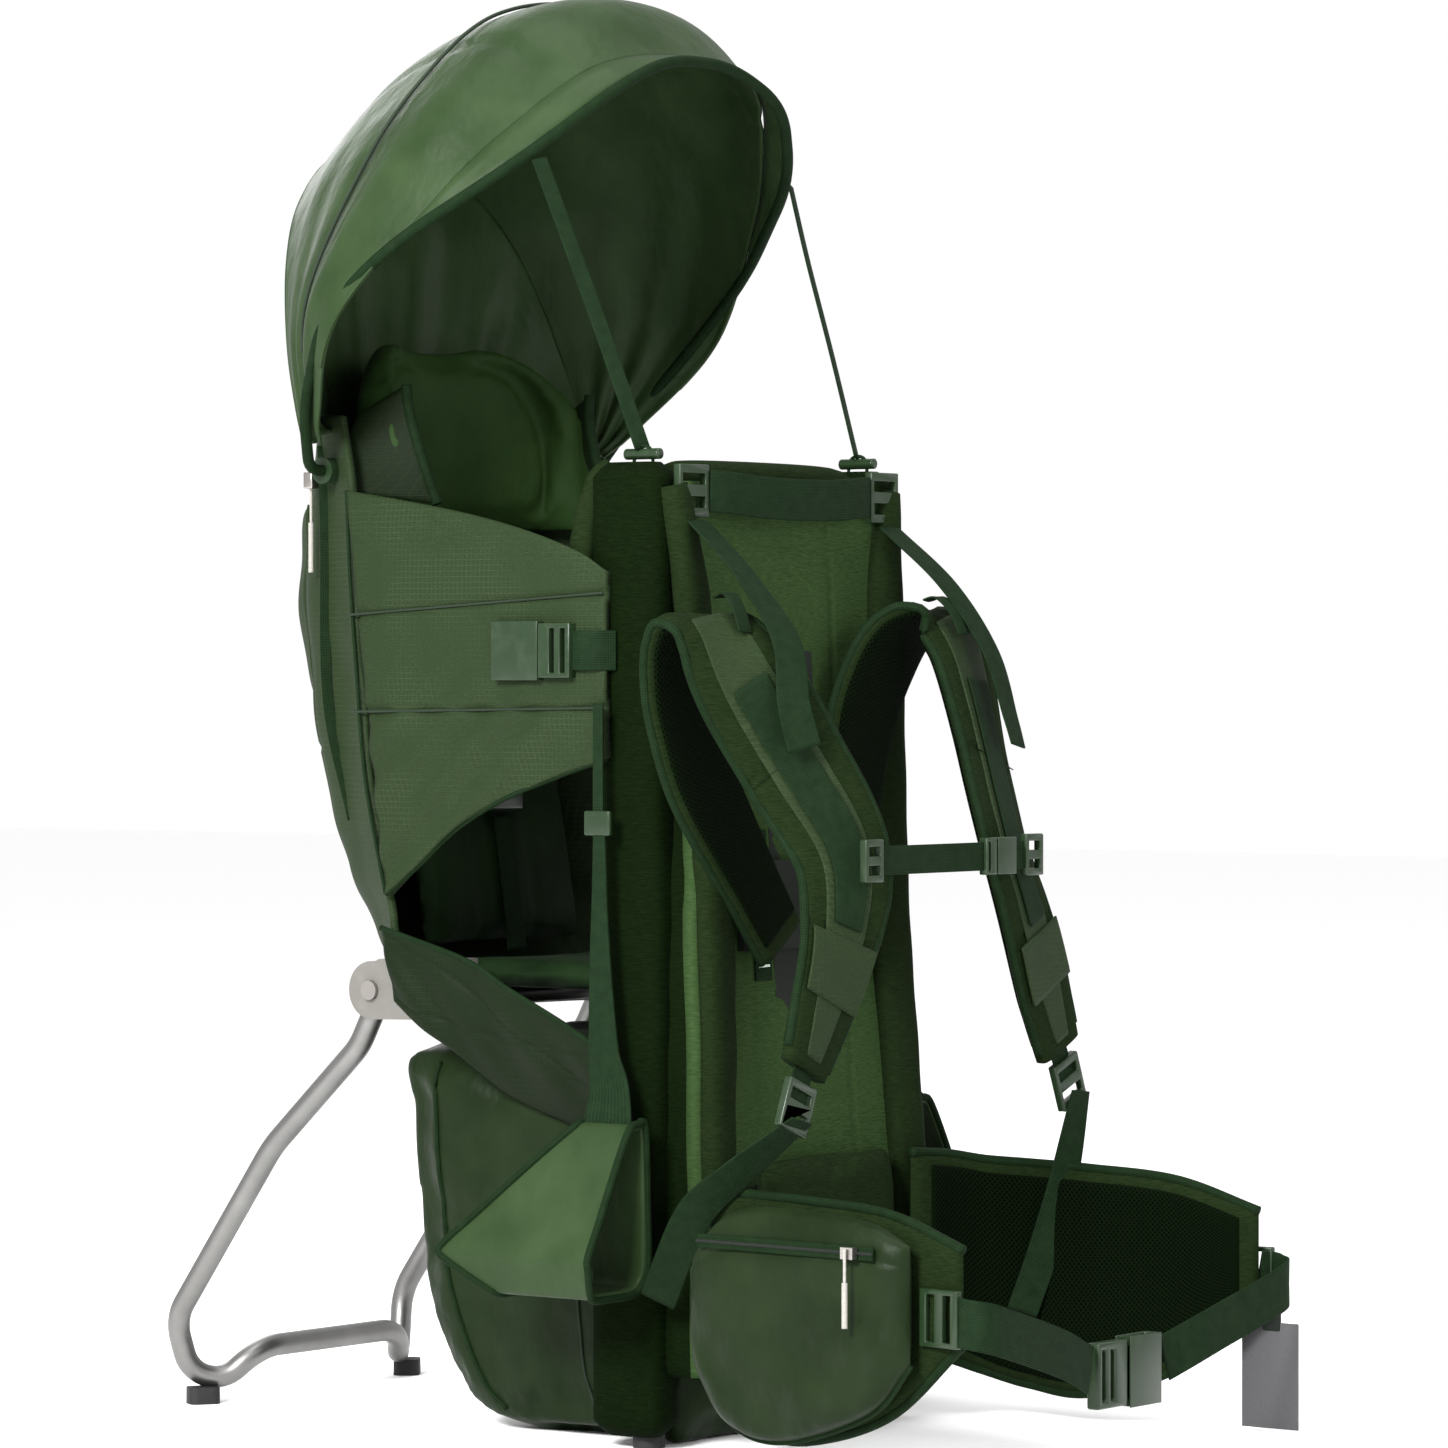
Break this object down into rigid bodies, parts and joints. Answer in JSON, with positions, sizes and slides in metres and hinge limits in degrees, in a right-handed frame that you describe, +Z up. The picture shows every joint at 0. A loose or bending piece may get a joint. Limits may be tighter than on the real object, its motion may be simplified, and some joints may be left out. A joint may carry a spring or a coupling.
{
  "type": "baby carrier backpack",
  "caption": "Framed child carrier backpack with a folding rear kickstand, padded cockpit, sun canopy, sliding shoulder harness, hip belt with pockets and foot stirrups.",
  "frame": {"origin": "centre of the footprint's box, on the floor that the feet stand on", "axes": "+Z up, -Y towards the wearer and the hip belt, +Y towards the kickstand, -X to the wearer's right"},
  "size_m": [0.524, 0.8949, 1.1818],
  "materials": {
    "aluminium": "satin anodised tube",
    "rubber": "matt moulded rubber",
    "grey_plastic": "warm grey moulded plastic",
    "steel": "plated steel",
    "heather_fabric": "heathered dark green woven polyester",
    "ripstop_fabric": "forest green ripstop with a fine ribbed grid",
    "coated_nylon": "smooth coated forest green nylon with a soft sheen",
    "lining_fabric": "dark green brushed lining over foam",
    "spacer_mesh": "dark green open spacer mesh over foam",
    "webbing": "ribbed dark green webbing",
    "green_plastic": "dark green moulded acetal",
    "black_plastic": "near-black moulded board",
    "grey_cord": "pale grey cord with a moulded grip",
    "tag_card": "blank dark grey card"
  },
  "bodies": {
    "frame": {"frame_tube": "aluminium", "frame_feet": "rubber", "frame_cross_members": "aluminium", "kickstand_brackets": "grey_plastic", "kickstand_bolts": "steel", "column_covers": "heather_fabric", "back_panel": "heather_fabric", "torso_track": "black_plastic", "right_side_panel": "ripstop_fabric", "left_side_panel": "ripstop_fabric", "rear_shell": "ripstop_fabric", "rear_pocket": "ripstop_fabric", "lower_bag": "coated_nylon", "seat_base": "lining_fabric", "seat_back": "lining_fabric", "headrest": "lining_fabric", "chest_pad": "lining_fabric", "child_harness": "webbing", "child_buckle": "green_plastic", "cockpit_buckles": "green_plastic", "cockpit_webbing": "webbing", "frame_ladder_locks": "green_plastic", "haul_handle": "webbing", "hip_belt_pads": "spacer_mesh", "hip_pockets": "coated_nylon", "belt_webbing": "webbing", "hip_socket": "green_plastic", "hip_plug": "green_plastic", "canopy_hubs": "green_plastic", "canopy_curtain": "coated_nylon"},
    "kickstand": {"kickstand_tube": "aluminium", "kickstand_clips": "grey_plastic"},
    "canopy": {"canopy_hoop": "steel", "canopy_roof": "coated_nylon"},
    "canopy_straps": {"canopy_straps": "webbing"},
    "harness": {"shoulder_yoke": "black_plastic", "right_shoulder_strap": "spacer_mesh", "left_shoulder_strap": "spacer_mesh", "lower_adjusters": "green_plastic", "harness_webbing": "webbing"},
    "sternum_strap": {"sternum_sliders": "green_plastic", "sternum_webbing": "webbing", "sternum_socket": "green_plastic", "sternum_plug": "green_plastic"},
    "sternum_upper_prong": {"sternum_upper_prong": "green_plastic"},
    "sternum_lower_prong": {"sternum_lower_prong": "green_plastic"},
    "hip_upper_prong": {"hip_upper_prong": "green_plastic"},
    "hip_lower_prong": {"hip_lower_prong": "green_plastic"},
    "right_cockpit_upper_prong": {"right_cockpit_upper_prong": "green_plastic"},
    "right_cockpit_lower_prong": {"right_cockpit_lower_prong": "green_plastic"},
    "left_cockpit_upper_prong": {"left_cockpit_upper_prong": "green_plastic"},
    "left_cockpit_lower_prong": {"left_cockpit_lower_prong": "green_plastic"},
    "right_stirrup": {"right_stirrup": "coated_nylon"},
    "left_stirrup": {"left_stirrup": "coated_nylon"},
    "right_zip_slider": {"right_zip_slider": "steel"},
    "left_zip_slider": {"left_zip_slider": "steel"},
    "right_zip_pull": {"right_zip_pull": "grey_cord"},
    "left_zip_pull": {"left_zip_pull": "grey_cord"},
    "rear_zip_pull": {"rear_zip_pull": "grey_cord"},
    "hang_tag": {"hang_tag": "tag_card"}
  },
  "joints": [
    {"name": "kickstand_fold", "type": "hinge", "parent": "frame", "child": "kickstand", "pos_m": [0, 0.208, 0.36], "axis": [-1, 0, 0], "range_deg": [0, 38]},
    {"name": "canopy_fold", "type": "hinge", "parent": "frame", "child": "canopy", "pos_m": [0, 0.257, 0.79], "axis": [-1, 0, 0], "range_deg": [0, 45], "deforming": ["canopy_curtain"]},
    {"name": "canopy_strap_swing", "type": "hinge", "parent": "canopy", "child": "canopy_straps", "pos_m": [0, 0.029, 1.04], "axis": [-1, 0, 0], "range_deg": [-5, 65]},
    {"name": "torso_slide", "type": "slide", "parent": "frame", "child": "harness", "axis": [0, 0.0562, 0.9984], "range_m": [-0.02, 0.07], "deforming": ["harness_webbing"]},
    {"name": "sternum_height", "type": "slide", "parent": "harness", "child": "sternum_strap", "axis": [0, 0, 1], "range_m": [-0.012, 0.012]},
    {"name": "sternum_upper_press", "type": "slide", "parent": "sternum_strap", "child": "sternum_upper_prong", "axis": [0, 0, -1], "range_m": [0, 0.0025], "stiffness_N_per_m": 600},
    {"name": "sternum_lower_press", "type": "slide", "parent": "sternum_strap", "child": "sternum_lower_prong", "axis": [0, 0, 1], "range_m": [0, 0.0025], "stiffness_N_per_m": 600},
    {"name": "hip_upper_press", "type": "slide", "parent": "frame", "child": "hip_upper_prong", "axis": [0, 0, -1], "range_m": [0, 0.0025], "stiffness_N_per_m": 600},
    {"name": "hip_lower_press", "type": "slide", "parent": "frame", "child": "hip_lower_prong", "axis": [0, 0, 1], "range_m": [0, 0.0025], "stiffness_N_per_m": 600},
    {"name": "right_cockpit_upper_press", "type": "slide", "parent": "frame", "child": "right_cockpit_upper_prong", "axis": [0, 0, -1], "range_m": [0, 0.0025], "stiffness_N_per_m": 600},
    {"name": "right_cockpit_lower_press", "type": "slide", "parent": "frame", "child": "right_cockpit_lower_prong", "axis": [0, 0, 1], "range_m": [0, 0.0025], "stiffness_N_per_m": 600},
    {"name": "left_cockpit_upper_press", "type": "slide", "parent": "frame", "child": "left_cockpit_upper_prong", "axis": [0, 0, -1], "range_m": [0, 0.0025], "stiffness_N_per_m": 600},
    {"name": "left_cockpit_lower_press", "type": "slide", "parent": "frame", "child": "left_cockpit_lower_prong", "axis": [0, 0, 1], "range_m": [0, 0.0025], "stiffness_N_per_m": 600},
    {"name": "right_stirrup_swing", "type": "hinge", "parent": "frame", "child": "right_stirrup", "pos_m": [-0.187, 0, 0.6], "axis": [0, 1, 0], "range_deg": [0, 25]},
    {"name": "left_stirrup_swing", "type": "hinge", "parent": "frame", "child": "left_stirrup", "pos_m": [0.187, 0, 0.6], "axis": [0, -1, 0], "range_deg": [0, 25]},
    {"name": "right_zip_slide", "type": "slide", "parent": "frame", "child": "right_zip_slider", "axis": [0.0721, 0.9974, 0], "range_m": [0, 0.125]},
    {"name": "left_zip_slide", "type": "slide", "parent": "frame", "child": "left_zip_slider", "axis": [-0.0721, 0.9974, 0], "range_m": [0, 0.125]},
    {"name": "right_zip_pull_swing", "type": "hinge", "parent": "right_zip_slider", "child": "right_zip_pull", "pos_m": [-0.25383, -0.3381, 0.182], "axis": [-0.0721, -0.9974, 0], "range_deg": [-60, 0]},
    {"name": "left_zip_pull_swing", "type": "hinge", "parent": "left_zip_slider", "child": "left_zip_pull", "pos_m": [0.25383, -0.3381, 0.182], "axis": [0.0721, -0.9974, 0], "range_deg": [0, 60]},
    {"name": "rear_zip_pull_swing", "type": "hinge", "parent": "frame", "child": "rear_zip_pull", "pos_m": [-0.15, 0.287, 0.777], "axis": [0.7659, 0.6429, 0], "range_deg": [0, 60]},
    {"name": "hang_tag_swing", "type": "hinge", "parent": "frame", "child": "hang_tag", "pos_m": [0.236, -0.414, 0.146], "axis": [0, -1, 0], "range_deg": [0, 60]}
  ],
  "couplings": [
    {"joint": "canopy_strap_swing", "follows": "canopy_fold", "ratio": 1.4},
    {"joint": "sternum_lower_press", "follows": "sternum_upper_press", "ratio": 1},
    {"joint": "hip_lower_press", "follows": "hip_upper_press", "ratio": 1},
    {"joint": "right_cockpit_lower_press", "follows": "right_cockpit_upper_press", "ratio": 1},
    {"joint": "left_cockpit_lower_press", "follows": "left_cockpit_upper_press", "ratio": 1}
  ]
}
